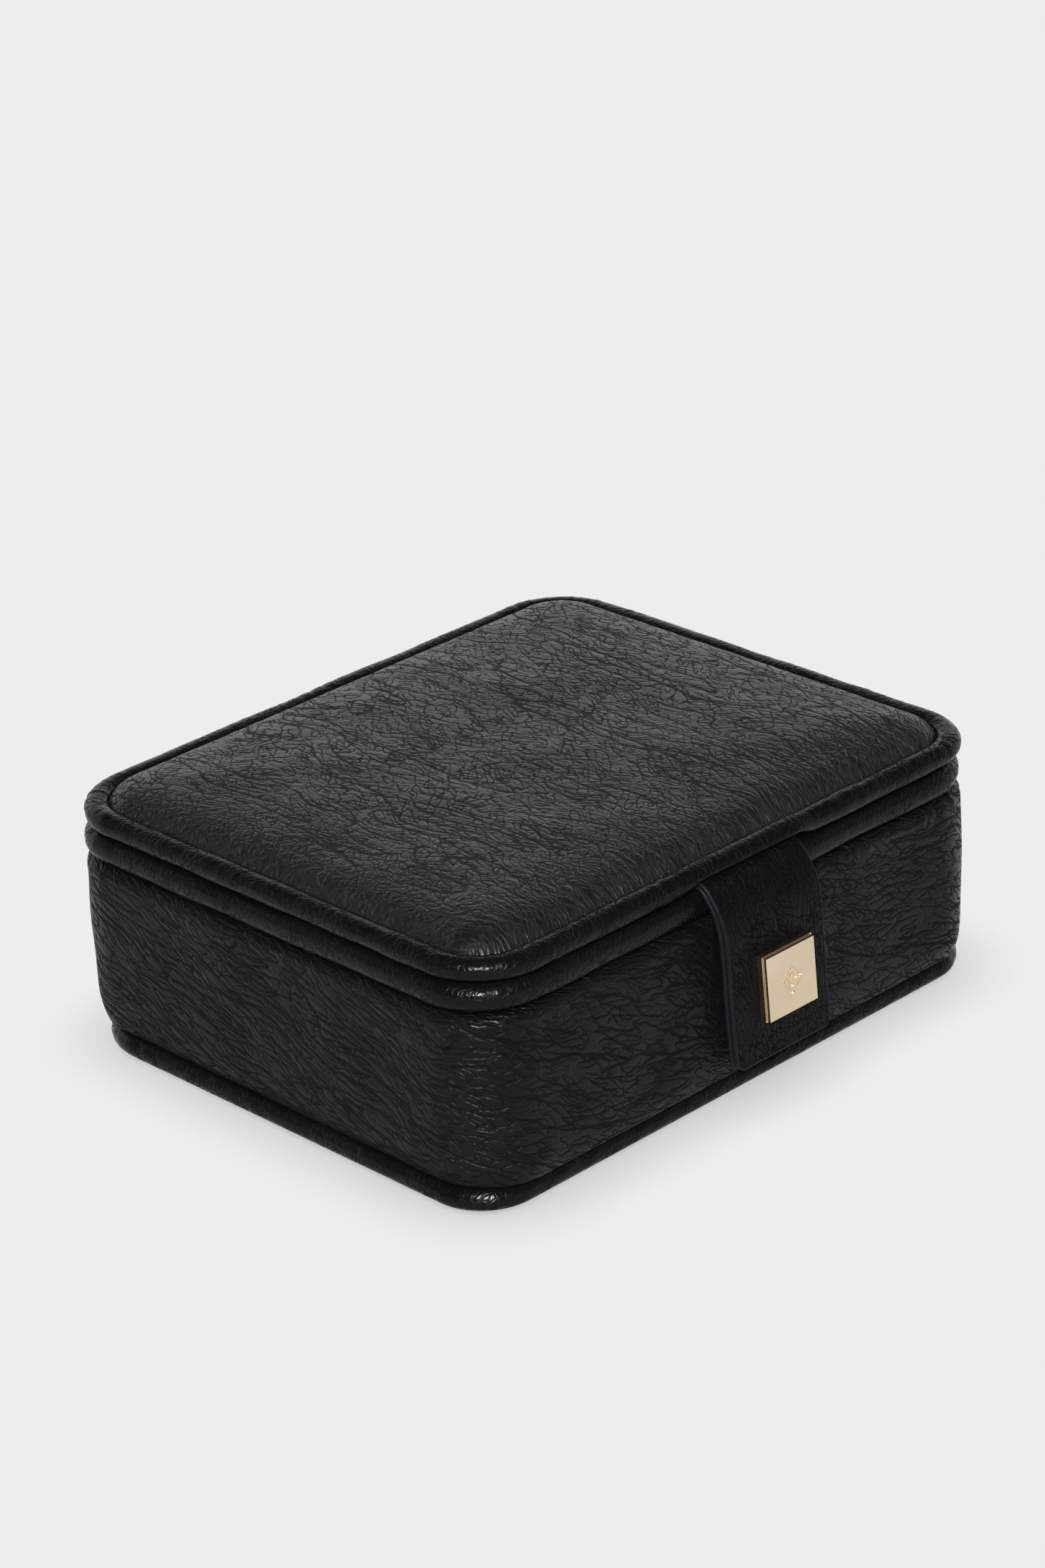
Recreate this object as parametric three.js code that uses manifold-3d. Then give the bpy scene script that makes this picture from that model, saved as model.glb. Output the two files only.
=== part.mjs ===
// A leather-covered jewellery and vanity case with a padded, hinged lid and a strap that closes it.
// Every board is wrapped in leather: the bottom board, the four walls, the lid frame and the lid's top board.
// The strap is caught in the lid's upper seam, hangs over the front and is held by a pair of hidden magnets.
//
// Frame: millimetres, +Z up, origin at the centre of the underside. The front, with the strap, faces -Y.
// The lid turns about a leather spine along the top of the back wall.
import * as THREE from "three";
import { mergeVertices } from "three/addons/utils/BufferGeometryUtils.js";
import Module from "manifold-3d";

const wasm = await Module();
wasm.setup();
const { Manifold, Mesh: WasmMesh } = wasm;

// ---------------------------------------------------------------- driving dimensions
// Bottom board, wrapped in leather
const BOT = { a: 75.3, b: 62.2, r: 15.2, z0: 0, z1: 4.7, round: 1.9 };
// Walls: the outline of the leather, and the layers going inwards from it
const WALL = { a: 75.1, b: 63.8, r: 15.5, z0: 4.9, z1: 43.1, round: 2.2 };
const LEATHER = 1.2; // leather thickness
const CORE_IN = 4.1; // inner face of the wall's board, measured from the outline
const LIP_IN = 5.4; // inner face of the turned-in leather and of the lining
const LIP_Z = 33; // lower edge of the turned-in leather
// Lid frame, the lower roll of the lid
const FRAME = { a: 75.1, b: 63.9, r: 15.7, z0: 43.3, z1: 49.7, round: 3.0, width: 6.4 };
// Lid top, the upper roll, which wraps the edge of the top board
const RIM = { a: 75, b: 64.1, r: 16.6, z0: 50.0, z1: 55.0, round: 2.35, width: 5.3 };
const CROWN = 4.9; // height of the padded crown above the seam
// Interior
const FLOOR_Z = 8.6;
const DIV_T = 2.6;
const DIV_TOP = 36.8;
const DIV_LONG_Y = 3; // centre of the long divider
const DIV_FRONT_X = -12;
const DIV_BACK_X = 22;
const ROLLS = 4;
const ROLL_W = 12.7;
const ROLL_TOP = 29;
// Strap
const STRAP_W = 28.5;
const STRAP_T = 2.6;
const STRAP_TILT = 0.112; // the strap hangs a little askew: sideways run per unit of drop
const STRAP_X = 0.8; // centre of the strap where it leaves the seam
const STRAP_ROOT_Z = 51.2;
const STRAP_PIVOT = { y: -65.3, z: 47.8 };
const PLATE = { w: 14.8, h: 15.8, t: 1.45, face: 0.85, x: 1.0, z: 25.8 };
// Lid hinge
const HINGE = { y: 64.7, z: 43.2, half: 50 };

// ---------------------------------------------------------------- helpers
const solid = (g) => {
  g.deleteAttribute("normal");
  g.deleteAttribute("uv");
  const m = mergeVertices(g, 1e-4);
  return new Manifold(
    new WasmMesh({
      numProp: 3,
      vertProperties: new Float32Array(m.attributes.position.array),
      triVerts: new Uint32Array(m.index.array),
    }),
  );
};

const geometry = (s) => {
  const m = s.getMesh();
  const n = m.numProp;
  const v = new Float32Array(m.numVert * 3);
  for (let i = 0; i < m.numVert; i++) v.set(m.vertProperties.subarray(i * n, i * n + 3), i * 3);
  const g = new THREE.BufferGeometry();
  g.setAttribute("position", new THREE.BufferAttribute(v, 3));
  g.setIndex(new THREE.BufferAttribute(new Uint32Array(m.triVerts), 1));
  g.computeVertexNormals();
  return g;
};

// Outline of a rounded rectangle of half sizes a by b, moved in by d.
const outline = (a, b, r, d = 0) => {
  const A = a - d, B = b - d, R = Math.max(r - d, 0.6);
  const s = new THREE.Shape();
  s.absarc(A - R, B - R, R, 0, Math.PI / 2, false);
  s.absarc(-(A - R), B - R, R, Math.PI / 2, Math.PI, false);
  s.absarc(-(A - R), -(B - R), R, Math.PI, 1.5 * Math.PI, false);
  s.absarc(A - R, -(B - R), R, 1.5 * Math.PI, 2 * Math.PI, false);
  return s;
};

// A slab with that outline from z0 to z1, its edges rounded by `round`.
const slab = (a, b, r, d, z0, z1, round = 0, segs = 3, curve = 4) => {
  const depth = z1 - z0 - 2 * round;
  const g = new THREE.ExtrudeGeometry(outline(a, b, r, d), {
    depth,
    curveSegments: curve,
    steps: 1,
    bevelEnabled: round > 0,
    bevelThickness: round,
    bevelSize: round,
    bevelOffset: -round,
    bevelSegments: segs,
  });
  g.translate(0, 0, z0 + round);
  return solid(g);
};

const block = (x0, x1, y0, y1, z0, z1) => {
  const g = new THREE.BoxGeometry(x1 - x0, y1 - y0, z1 - z0);
  g.translate((x0 + x1) / 2, (y0 + y1) / 2, (z0 + z1) / 2);
  return solid(g);
};

// A profile of [y, z] points extruded along X between x0 and x1.
const bar = (points, x0, x1) => {
  const s = new THREE.Shape(points.map(([y, z]) => new THREE.Vector2(y, z)));
  const g = new THREE.ExtrudeGeometry(s, { depth: x1 - x0, bevelEnabled: false });
  // shape x -> Y, shape y -> Z, extrusion -> X
  g.applyMatrix4(new THREE.Matrix4().set(0, 0, 1, x0, 1, 0, 0, 0, 0, 1, 0, 0, 0, 0, 0, 1));
  return solid(g);
};

// A disc whose axis runs along Y.
const discY = (r, x, y0, y1, z, n = 20) => {
  const g = new THREE.CylinderGeometry(r, r, y1 - y0, n);
  g.translate(x, (y0 + y1) / 2, z);
  return solid(g);
};

// A slab from z0 whose top is domed: flat at the outline's edge, `crown` higher in the middle.
const dome = (a, b, r, d, z0, z1, crown, nx = 16, ny = 14) => {
  const g = new THREE.BoxGeometry(2 * (a - d), 2 * (b - d), z1 - z0, nx, ny, 1);
  const p = g.attributes.position;
  for (let i = 0; i < p.count; i++) {
    if (p.getZ(i) <= 0) continue;
    const u = Math.abs(p.getX(i)) / (a - d), v = Math.abs(p.getY(i)) / (b - d);
    const f = Math.sqrt(Math.max(0, 1 - u ** 5)) * Math.sqrt(Math.max(0, 1 - v ** 5));
    p.setZ(i, p.getZ(i) + crown * Math.pow(f, 0.8));
  }
  g.translate(0, 0, (z0 + z1) / 2);
  return solid(g).intersect(slab(a, b, r, d, z0 - 1, z1 + crown + 2));
};

const materials = {
  leather: new THREE.MeshStandardMaterial({ color: 0x17181a, roughness: 0.48, metalness: 0 }),
  board: new THREE.MeshStandardMaterial({ color: 0x8d8678, roughness: 0.9, metalness: 0 }),
  foam: new THREE.MeshStandardMaterial({ color: 0xd9d4c4, roughness: 1, metalness: 0 }),
  suede: new THREE.MeshStandardMaterial({ color: 0x8f7d69, roughness: 0.95, metalness: 0 }),
  gold: new THREE.MeshStandardMaterial({ color: 0xd9b98a, roughness: 0.25, metalness: 1 }),
  steel: new THREE.MeshStandardMaterial({ color: 0xa5a8ab, roughness: 0.35, metalness: 1 }),
  mirror: new THREE.MeshStandardMaterial({ color: 0xe6ebee, roughness: 0.02, metalness: 1 }),
};

const mesh = (name, s, material) => {
  const m = new THREE.Mesh(geometry(s), materials[material]);
  m.name = name;
  return m;
};

const root = new THREE.Group();
const base = new THREE.Group();
const lid = new THREE.Group();
const strap = new THREE.Group();
root.add(base, lid, strap);

// ---------------------------------------------------------------- bottom
{
  const { a, b, r, z0, z1, round } = BOT;
  const cover = slab(a, b, r, 0, z0, z1, round)
    .subtract(slab(a, b, r, 1.3, 1.2, 3.65))
    .subtract(slab(a, b, r, 13, 2, 6));
  base.add(mesh("bottom_cover", cover, "leather"));
  base.add(mesh("bottom_board", slab(a, b, r, 1.65, 1.5, 3.45), "board"));
}

// ---------------------------------------------------------------- walls
{
  const { a, b, r, z0, z1, round } = WALL;
  // Leather: up the outside, over the top edge and down inside as far as LIP_Z.
  const cover = slab(a, b, r, 0, z0, z1, round)
    .subtract(slab(a, b, r, LIP_IN, z0 - 1, z1 + 1))
    .subtract(
      slab(a, b, r, LEATHER, z0 - 1, z1 - LEATHER).subtract(
        slab(a, b, r, CORE_IN + 0.3, LIP_Z, z1),
      ),
    );
  base.add(mesh("wall_cover", cover, "leather"));

  const magnetX = STRAP_X + PLATE.x + (STRAP_ROOT_Z - PLATE.z) * STRAP_TILT;
  let core = slab(a, b, r, LEATHER + 0.3, z0 + 0.2, z1 - LEATHER - 0.3).subtract(
    slab(a, b, r, CORE_IN, z0 - 1, z1),
  );
  core = core.subtract(discY(6.3, magnetX, -b + 1, -b + 3.2, PLATE.z));
  base.add(mesh("wall_board", core, "board"));
  base.add(mesh("wall_magnet", discY(6, magnetX, -b + 1.6, -b + 3.0, PLATE.z), "steel"));

  const lining = slab(a, b, r, CORE_IN + 0.3, 7.3, LIP_Z - 0.3).subtract(
    slab(a, b, r, LIP_IN, 6, z1),
  );
  base.add(mesh("wall_lining", lining, "suede"));
  base.add(mesh("floor_board", slab(a, b, r, CORE_IN + 0.4, 4.9, 7.0), "board"));
  base.add(mesh("floor_pad", slab(a, b, r, LIP_IN + 0.3, 7.2, FLOOR_Z, 0.4, 1), "suede"));
}

// ---------------------------------------------------------------- dividers and ring rolls
{
  const x1 = WALL.a - LIP_IN - 0.3;
  const y1 = WALL.b - LIP_IN - 0.3;
  const z0 = FLOOR_Z + 0.1;
  const h = DIV_T / 2;
  base.add(
    mesh("divider_long", block(-x1, x1, DIV_LONG_Y - h, DIV_LONG_Y + h, z0, DIV_TOP), "suede"),
  );
  base.add(
    mesh(
      "divider_front",
      block(DIV_FRONT_X - h, DIV_FRONT_X + h, -y1, DIV_LONG_Y - h - 0.1, z0, DIV_TOP),
      "suede",
    ),
  );
  base.add(
    mesh(
      "divider_back",
      block(DIV_BACK_X - h, DIV_BACK_X + h, DIV_LONG_Y + h + 0.1, y1, z0, DIV_TOP),
      "suede",
    ),
  );
  // Padded rolls that grip rings between them, side by side behind the long divider.
  const cavity = slab(WALL.a, WALL.b, WALL.r, LIP_IN + 0.4, z0, DIV_TOP);
  const yStart = DIV_LONG_Y + h + 0.3;
  const pitch = (y1 - yStart) / ROLLS;
  for (let i = 0; i < ROLLS; i++) {
    const c = yStart + pitch * (i + 0.5);
    const w = ROLL_W / 2 - 0.05;
    const pts = [[c - w, z0], [c + w, z0]];
    for (let k = 0; k <= 8; k++) {
      const t = (Math.PI * k) / 8;
      pts.push([c + w * Math.cos(t), ROLL_TOP - w + w * Math.sin(t)]);
    }
    const roll = bar(pts, -x1 + 0.2, DIV_BACK_X - h - 0.3).intersect(cavity);
    base.add(mesh(`ring_roll_${i + 1}`, roll, "suede"));
  }
}

// ---------------------------------------------------------------- lid frame
{
  const { a, b, r, z0, z1, round, width } = FRAME;
  const cover = slab(a, b, r, 0, z0, z1, round)
    .subtract(slab(a, b, r, width, z0 - 1, z1 + 1))
    .subtract(
      slab(a, b, r, 1.4, z0 + 1.3, z1 - 1.5).subtract(slab(a, b, r, width - 1.2, z0, z1 + 1)),
    )
    .subtract(slab(a, b, r, 3.7, z1 - 2, z1 + 1).subtract(slab(a, b, r, width - 1.2, z0, z1 + 2)));
  lid.add(mesh("lid_frame_cover", cover, "leather"));
  const core = slab(a, b, r, 1.7, z0 + 1.6, z1 - 1.8).subtract(
    slab(a, b, r, width - 1.5, z0, z1),
  );
  lid.add(mesh("lid_frame_board", core, "board"));
}

// ---------------------------------------------------------------- lid top: rolled rim, board, foam, padded panel
const hw = STRAP_W / 2;
{
  const { a, b, r, z0, z1, round, width } = RIM;
  const notchFront = block(STRAP_X - hw - 0.6, STRAP_X + hw + 0.6, -b - 3, -56.8, z0 - 1, 51.85);
  const notchBack = block(-HINGE.half - 0.4, HINGE.half + 0.4, 57.4, b + 3, z0 - 1, 51.15);
  const cover = slab(a, b, r, 0, z0, z1, round)
    .subtract(slab(a, b, r, width, z0 - 1, z1 + 1))
    .subtract(slab(a, b, r, 1.3, z0 + 1.25, z1 - 1.25))
    .subtract(notchFront)
    .subtract(notchBack);
  lid.add(mesh("lid_rim_cover", cover, "leather"));
  lid.add(
    mesh("lid_top_board", slab(a, b, r, 1.65, 51.95, 53.55), "board"),
  );
  lid.add(mesh("lid_foam", dome(a, b, r, width + 1.7, 53.75, 53.9, CROWN), "foam"));
  const panel = dome(a, b, r, width + 0.25, 53.75, 54.9, CROWN).subtract(
    dome(a, b, r, width + 1.4, 52.8, 54.0, CROWN - 0.05),
  );
  lid.add(mesh("lid_top_panel", panel, "leather"));
}

// ---------------------------------------------------------------- lid lining and mirror
{
  const d = FRAME.width + 0.4;
  lid.add(mesh("lid_lining", slab(FRAME.a, FRAME.b, FRAME.r, d, 49.7, 51.1, 0.3, 1), "suede"));
  const frame = slab(58, 47, 7, 0, 46.7, 49.6, 0.8, 2)
    .subtract(slab(52.6, 41.6, 4, 0, 45, 51))
    .subtract(slab(54.8, 43.8, 4, 0, 47.6, 51));
  lid.add(mesh("mirror_frame", frame, "leather"));
  lid.add(mesh("mirror_glass", slab(54.5, 43.5, 3.7, 0, 47.7, 49.5), "mirror"));
}

// ---------------------------------------------------------------- spine hinge at the back
{
  const { y, z, half } = HINGE;
  // Lid leaf: caught in the upper seam, then down the back of the lid frame.
  const leaf = bar(
    [[58, 49.85], [64.2, 49.85], [64.2, z + 0.8], [65.2, z + 0.8], [65.2, 50.9], [58, 50.9]],
    -half,
    half,
  );
  lid.add(mesh("hinge_leaf_lid", leaf, "leather"));
  base.add(
    mesh("hinge_leaf_base", block(-half, half, WALL.b + 0.3, WALL.b + 1.3, 24.8, z - 0.8), "leather"),
  );
  // Lining strip across the joint, inside.
  base.add(
    mesh(
      "gusset_base",
      block(-half, half, WALL.b - LIP_IN - 0.7, WALL.b - LIP_IN - 0.15, DIV_TOP + 0.3, z - 0.6),
      "suede",
    ),
  );
  lid.add(
    mesh(
      "gusset_lid",
      block(-half, half, FRAME.b - FRAME.width - 0.7, FRAME.b - FRAME.width - 0.15, z + 0.7, 48.8),
      "suede",
    ),
  );
}

// ---------------------------------------------------------------- strap
{
  // Centre line of the strap in the Y-Z plane, from the pivot down to its free end.
  const line = new THREE.CatmullRomCurve3(
    [
      [STRAP_PIVOT.y, STRAP_PIVOT.z],
      [-66.45, 45.8],
      [-67.3, 43.1],
      [-67.65, 39.8],
      [-67.46, 34.8],
      [-67.1, 27.8],
      [-66.74, 20.8],
      [-66.5, 14.3],
      [-66.4, 8.2],
    ].map(([py, pz]) => new THREE.Vector3(0, py, pz)),
    false,
    "centripetal",
  );
  const N = 18;
  const at = (off0, off1, t0 = 0, t1 = 1) => {
    // Band between two offsets from the centre line; positive offsets face outwards.
    const out = [], inn = [];
    for (let i = 0; i <= N; i++) {
      const t = t0 + ((t1 - t0) * i) / N;
      const p = line.getPoint(t), q = line.getTangent(t);
      const n = [q.z, -q.y]; // outward normal of a line that runs downwards
      out.push([p.y + n[0] * off1, p.z + n[1] * off1]);
      inn.push([p.y + n[0] * off0, p.z + n[1] * off0]);
    }
    return [...out, ...inn.reverse()];
  };
  const zTop = STRAP_PIVOT.z, zEnd = 8.2;
  // The face-on outline of the strap, with rounded lower corners.
  const cookie = () => {
    const s = new THREE.Shape();
    const R = 2.6;
    s.moveTo(-hw, zTop + 6);
    s.lineTo(-hw, zEnd + R);
    s.absarc(-hw + R, zEnd + R, R, Math.PI, 1.5 * Math.PI, false);
    s.absarc(hw - R, zEnd + R, R, 1.5 * Math.PI, 2 * Math.PI, false);
    s.lineTo(hw, zTop + 6);
    s.closePath();
    const g = new THREE.ExtrudeGeometry(s, { depth: 20, curveSegments: 3, bevelEnabled: false });
    g.applyMatrix4(new THREE.Matrix4().makeRotationX(Math.PI / 2));
    g.translate(0, -56, 0);
    return solid(g);
  };
  // Sideways shear that hangs the strap askew about the point where it leaves the seam.
  const askew = (s) => {
    const g = geometry(s);
    g.applyMatrix4(
      new THREE.Matrix4().set(
        1, 0, -STRAP_TILT, STRAP_X + STRAP_ROOT_Z * STRAP_TILT,
        0, 1, 0, 0,
        0, 0, 1, 0,
        0, 0, 0, 1,
      ),
    );
    return solid(g);
  };

  const h = STRAP_T / 2;
  const zc = PLATE.z;
  // Flap: outer leather and lining, with a pocket for the magnet between them.
  let outer = bar(at(0.05, h), -hw, hw).intersect(cookie());
  let inner = bar(at(-h, -0.05, 0.012, 1), -hw, hw).intersect(cookie());
  // The strap's own face position at the plate's height
  let faceY = 0, midY = 0;
  for (let i = 0; i <= 400; i++) {
    const p = line.getPoint(i / 400);
    if (p.z < zc) {
      midY = p.y;
      faceY = p.y - h;
      break;
    }
  }
  const yPlate = faceY - 0.1; // inner face of the plate
  // The plate, its posts and the magnet lean with the strap.
  const lean = Math.atan(0.0514);
  const tip = (s) => {
    const g = geometry(s);
    g.translate(0, -midY, -zc);
    g.rotateX(lean);
    g.translate(0, midY, zc);
    return solid(g);
  };
  const px = PLATE.x;
  // Magnet and the plate's posts
  inner = inner.subtract(tip(discY(4.9, px, midY - 0.2, midY + 0.95, zc, 20)));
  const magnet = tip(discY(4.6, px, midY + 0.2, midY + 0.8, zc, 20));
  const posts = [-5.6, 5.6].map((dx) => discY(0.9, px + dx, yPlate - 0.4, midY + 0.55, zc, 10));
  for (const dx of [-5.6, 5.6]) {
    const hole = tip(discY(1.15, px + dx, yPlate - 1, midY + 0.75, zc, 10));
    outer = outer.subtract(hole);
    inner = inner.subtract(hole);
  }
  strap.add(mesh("strap_outer", askew(outer), "leather"));
  strap.add(mesh("strap_lining", askew(inner), "leather"));
  strap.add(mesh("strap_magnet", askew(magnet), "steel"));
  // Plate: a base with two posts and a separate face plate that carries a plain engraved lozenge.
  const plateBase = block(
    px - PLATE.w / 2, px + PLATE.w / 2, yPlate - PLATE.t, yPlate, zc - PLATE.h / 2, zc + PLATE.h / 2,
  ).add(posts[0]).add(posts[1]);
  const fy = yPlate - PLATE.t - 0.06;
  const inset = 0.3;
  let face = block(
    px - PLATE.w / 2 + inset, px + PLATE.w / 2 - inset, fy - PLATE.face, fy,
    zc - PLATE.h / 2 + inset, zc + PLATE.h / 2 - inset,
  );
  const lozenge = (r0, r1) => {
    const s = new THREE.Shape([[r1, 0], [0, r1 * 1.35], [-r1, 0], [0, -r1 * 1.35]].map((q) => new THREE.Vector2(...q)));
    s.holes.push(new THREE.Path([[r0, 0], [0, -r0 * 1.35], [-r0, 0], [0, r0 * 1.35]].map((q) => new THREE.Vector2(...q))));
    const g = new THREE.ExtrudeGeometry(s, { depth: 1, bevelEnabled: false });
    g.applyMatrix4(new THREE.Matrix4().makeRotationX(Math.PI / 2));
    g.translate(px, fy - PLATE.face + 0.22, zc);
    return solid(g);
  };
  face = face.subtract(lozenge(2.35, 2.75)).subtract(lozenge(1.05, 1.4));
  strap.add(mesh("clasp_plate_base", askew(tip(plateBase)), "gold"));
  strap.add(mesh("clasp_plate_face", askew(tip(face)), "gold"));

  // Root: the skived end of the strap, caught in the seam between the two rolls of the lid.
  const rootLine = bar(
    [
      [-57.4, 49.85], [-61.9, 49.85], [-63.0, 49.6], [-64.05, 49.0],
      [-64.5, 49.75], [-64.0, 50.65], [-62.9, 51.45], [-61.9, 51.65], [-57.4, 51.65],
    ],
    -hw,
    hw,
  );
  lid.add(mesh("strap_root", askew(rootLine), "leather"));
}

export default root;
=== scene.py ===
import math

import bmesh
import bpy
import numpy as np
from mathutils import Matrix, Vector


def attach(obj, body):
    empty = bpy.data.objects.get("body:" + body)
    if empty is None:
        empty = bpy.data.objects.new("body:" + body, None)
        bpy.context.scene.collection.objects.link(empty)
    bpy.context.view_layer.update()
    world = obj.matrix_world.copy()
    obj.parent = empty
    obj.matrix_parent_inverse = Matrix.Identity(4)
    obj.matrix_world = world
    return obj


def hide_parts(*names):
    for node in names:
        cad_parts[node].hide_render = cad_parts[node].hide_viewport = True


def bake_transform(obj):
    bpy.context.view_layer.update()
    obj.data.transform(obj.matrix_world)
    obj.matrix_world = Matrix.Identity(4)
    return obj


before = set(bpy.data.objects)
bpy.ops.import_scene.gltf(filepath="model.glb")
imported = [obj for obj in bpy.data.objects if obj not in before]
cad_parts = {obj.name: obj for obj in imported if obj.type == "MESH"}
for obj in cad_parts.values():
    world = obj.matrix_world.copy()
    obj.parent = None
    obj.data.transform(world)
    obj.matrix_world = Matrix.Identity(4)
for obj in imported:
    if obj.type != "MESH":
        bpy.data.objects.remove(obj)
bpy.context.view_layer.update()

MM = 0.001
PI = math.pi

# ------------------------------------------------------------------ driving sizes, in mm
# r gives one radius, or the radii of the back left, front left, front right and back right corners: hand-wrapped rolls aren't quite regular
BOT = dict(a=75.3, b=62.0, r=(17.5, 13.0, 15.0, 16.0))
WALL = dict(a=75.1, b=63.8, r=15.5)
FRAME = dict(a=74.9, b=63.9, r=15.7)
RIM = dict(a=75.0, b=64.1, r=(17.0, 15.8, 15.5, 17.4))
RISE = 0.8  # how far the pieces above the walls are lifted from the heights they are drawn at
STRAP_HW, STRAP_X, STRAP_TILT, STRAP_Z = 14.25, 0.8, 0.112, 50.4
HINGE_HALF = 50.0

# ------------------------------------------------------------------ camera
AZ, EL, ROLL = math.radians(-43.37), math.radians(24.80), math.radians(-3.10)
TARGET = np.array([11.78, 12.82, 41.87])
DIST, FPX = 954.82, 6179.06
back = np.array([math.sin(AZ) * math.cos(EL), -math.cos(AZ) * math.cos(EL), math.sin(EL)])
r0 = np.array([math.cos(AZ), math.sin(AZ), 0.0])
u0 = np.cross(back, r0)
right = math.cos(ROLL) * r0 + math.sin(ROLL) * u0
up = -math.sin(ROLL) * r0 + math.cos(ROLL) * u0
cam_data = bpy.data.cameras.new("camera")
cam_data.sensor_width = 36.0
cam_data.lens = FPX * 36.0 / 2168.0
cam_data.clip_start = 0.01
cam_data.clip_end = 50.0
camera = bpy.data.objects.new("camera", cam_data)
bpy.context.scene.collection.objects.link(camera)
place = Matrix.Identity(4)
for i in range(3):
    place[i][0], place[i][1], place[i][2] = right[i], up[i], back[i]
    place[i][3] = (TARGET[i] + DIST * back[i]) * MM
camera.matrix_world = place
bpy.context.scene.camera = camera


# ------------------------------------------------------------------ mesh helpers
lift = 0.0  # added to the height of every mesh that is made, in mm


def outline(a, b, r, step=0.8):
    """Points, outward normals and arc lengths round a rounded rectangle, from the middle of the back and anticlockwise from above.
    r is one radius, or the radii of the back left, front left, front right and back right corners."""
    pts, nrm = [], []
    r1, r2, r3, r4 = r if isinstance(r, tuple) else (r, r, r, r)

    def line(p, q, n):
        k = max(2, int(round(math.dist(p, q) / step)))
        t = (np.arange(k) / k)[:, None]
        pts.append((1 - t) * np.array(p) + t * np.array(q))
        nrm.append(np.tile(np.array(n, float), (k, 1)))

    def arc(c, r, t0, t1):
        k = max(12, int(round(r * (t1 - t0) / (step * 0.7))))
        t = t0 + (t1 - t0) * np.arange(k) / k
        n = np.stack([np.cos(t), np.sin(t)], 1)
        pts.append(np.array(c) + r * n)
        nrm.append(n)

    line((0, b), (r1 - a, b), (0, 1))
    arc((r1 - a, b - r1), r1, PI / 2, PI)
    line((-a, b - r1), (-a, r2 - b), (-1, 0))
    arc((r2 - a, r2 - b), r2, PI, 1.5 * PI)
    line((r2 - a, -b), (a - r3, -b), (0, -1))
    arc((a - r3, r3 - b), r3, 1.5 * PI, 2 * PI)
    line((a, r3 - b), (a, b - r4), (1, 0))
    arc((a - r4, b - r4), r4, 0, PI / 2)
    line((a - r4, b), (0, b), (0, 1))
    P, N = np.concatenate(pts), np.concatenate(nrm)
    d = np.linalg.norm(np.roll(P, -1, 0) - P, axis=1)
    S = np.concatenate([[0], np.cumsum(d)[:-1]])
    return P, N, S, float(d.sum())


def densify(points, step=0.5, closed=True):
    """Even points along a polyline."""
    p = np.array(points, float)
    if closed:
        p = np.vstack([p, p[:1]])
    out = []
    for k in range(len(p) - 1):
        n = max(1, int(math.ceil(np.linalg.norm(p[k + 1] - p[k]) / step)))
        t = (np.arange(n) / n)[:, None]
        out.append((1 - t) * p[k] + t * p[k + 1])
    if not closed:
        out.append(p[-1:])
    return np.concatenate(out)


def corner(cx, cz, rx, rz, t0, t1, n=8, e=2.0):
    """Points of an elliptic or squarer (e > 2) arc about (cx, cz), angles in degrees, 0 towards +d."""
    t = np.radians(np.linspace(t0, t1, n + 1))
    c, s = np.cos(t), np.sin(t)
    return [
        (cx + rx * np.sign(x) * abs(x) ** (2 / e), cz + rz * np.sign(y) * abs(y) ** (2 / e))
        for x, y in zip(c, s)
    ]


def waves(seed, lo, hi, k=36, period=None, angle=0.0, stretch=1.0):
    """A smooth field of two lengths in mm: cosines with wavelengths lo to hi, drawn out along angle by stretch."""
    rng = np.random.default_rng(seed)
    lam, ph, th = rng.uniform(lo, hi, k), rng.uniform(0, 2 * PI, k), rng.uniform(0, PI, k)
    kx, ky = 2 * PI / lam * np.cos(th) / stretch, 2 * PI / lam * np.sin(th)
    c, s = math.cos(angle), math.sin(angle)
    kx, ky = c * kx - s * ky, s * kx + c * ky
    if period:
        kx = np.round(kx * period / (2 * PI)) * 2 * PI / period

    def f(x, y):
        out = np.zeros(np.broadcast(x, y).shape)
        for a, b, p in zip(kx, ky, ph):
            out += np.cos(a * x + b * y + p)
        return out / math.sqrt(k / 2)

    return f


def smooth(x, lo, hi):
    t = np.clip((x - lo) / (hi - lo), 0, 1)
    return t * t * (3 - 2 * t)


def ridged(w, width=0.22):
    """Narrow valleys along the zero lines of a wave field: 0 on the flats, 1 at the bottom of a crease."""
    return np.clip(1 - np.abs(w) / width, 0, 1) ** 1.6


def new_object(name, verts, faces, uvs=None, mats=(), mat_index=None, flat=False, weld=False):
    me = bpy.data.meshes.new(name)
    verts = (np.asarray(verts, float) + (0, 0, lift)) * MM
    me.from_pydata(verts.tolist(), [], [list(map(int, f)) for f in faces])
    if uvs is not None:
        layer = me.uv_layers.new(name="leather")
        layer.data.foreach_set("uv", (np.asarray(uvs, float) / 100.0).reshape(-1).astype(np.float32))
    for m in mats:
        me.materials.append(m)
    if mat_index is not None:
        me.polygons.foreach_set("material_index", np.asarray(mat_index, np.int32))
    bm = bmesh.new()
    bm.from_mesh(me)
    if weld:
        bmesh.ops.remove_doubles(bm, verts=bm.verts, dist=2e-6)
        bmesh.ops.dissolve_degenerate(bm, edges=bm.edges, dist=1e-7)
    bmesh.ops.recalc_face_normals(bm, faces=bm.faces)
    bm.to_mesh(me)
    bm.free()
    me.polygons.foreach_set("use_smooth", [not flat] * len(me.polygons))
    me.update()
    o = bpy.data.objects.new(name, me)
    bpy.context.scene.collection.objects.link(o)
    return o


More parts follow.
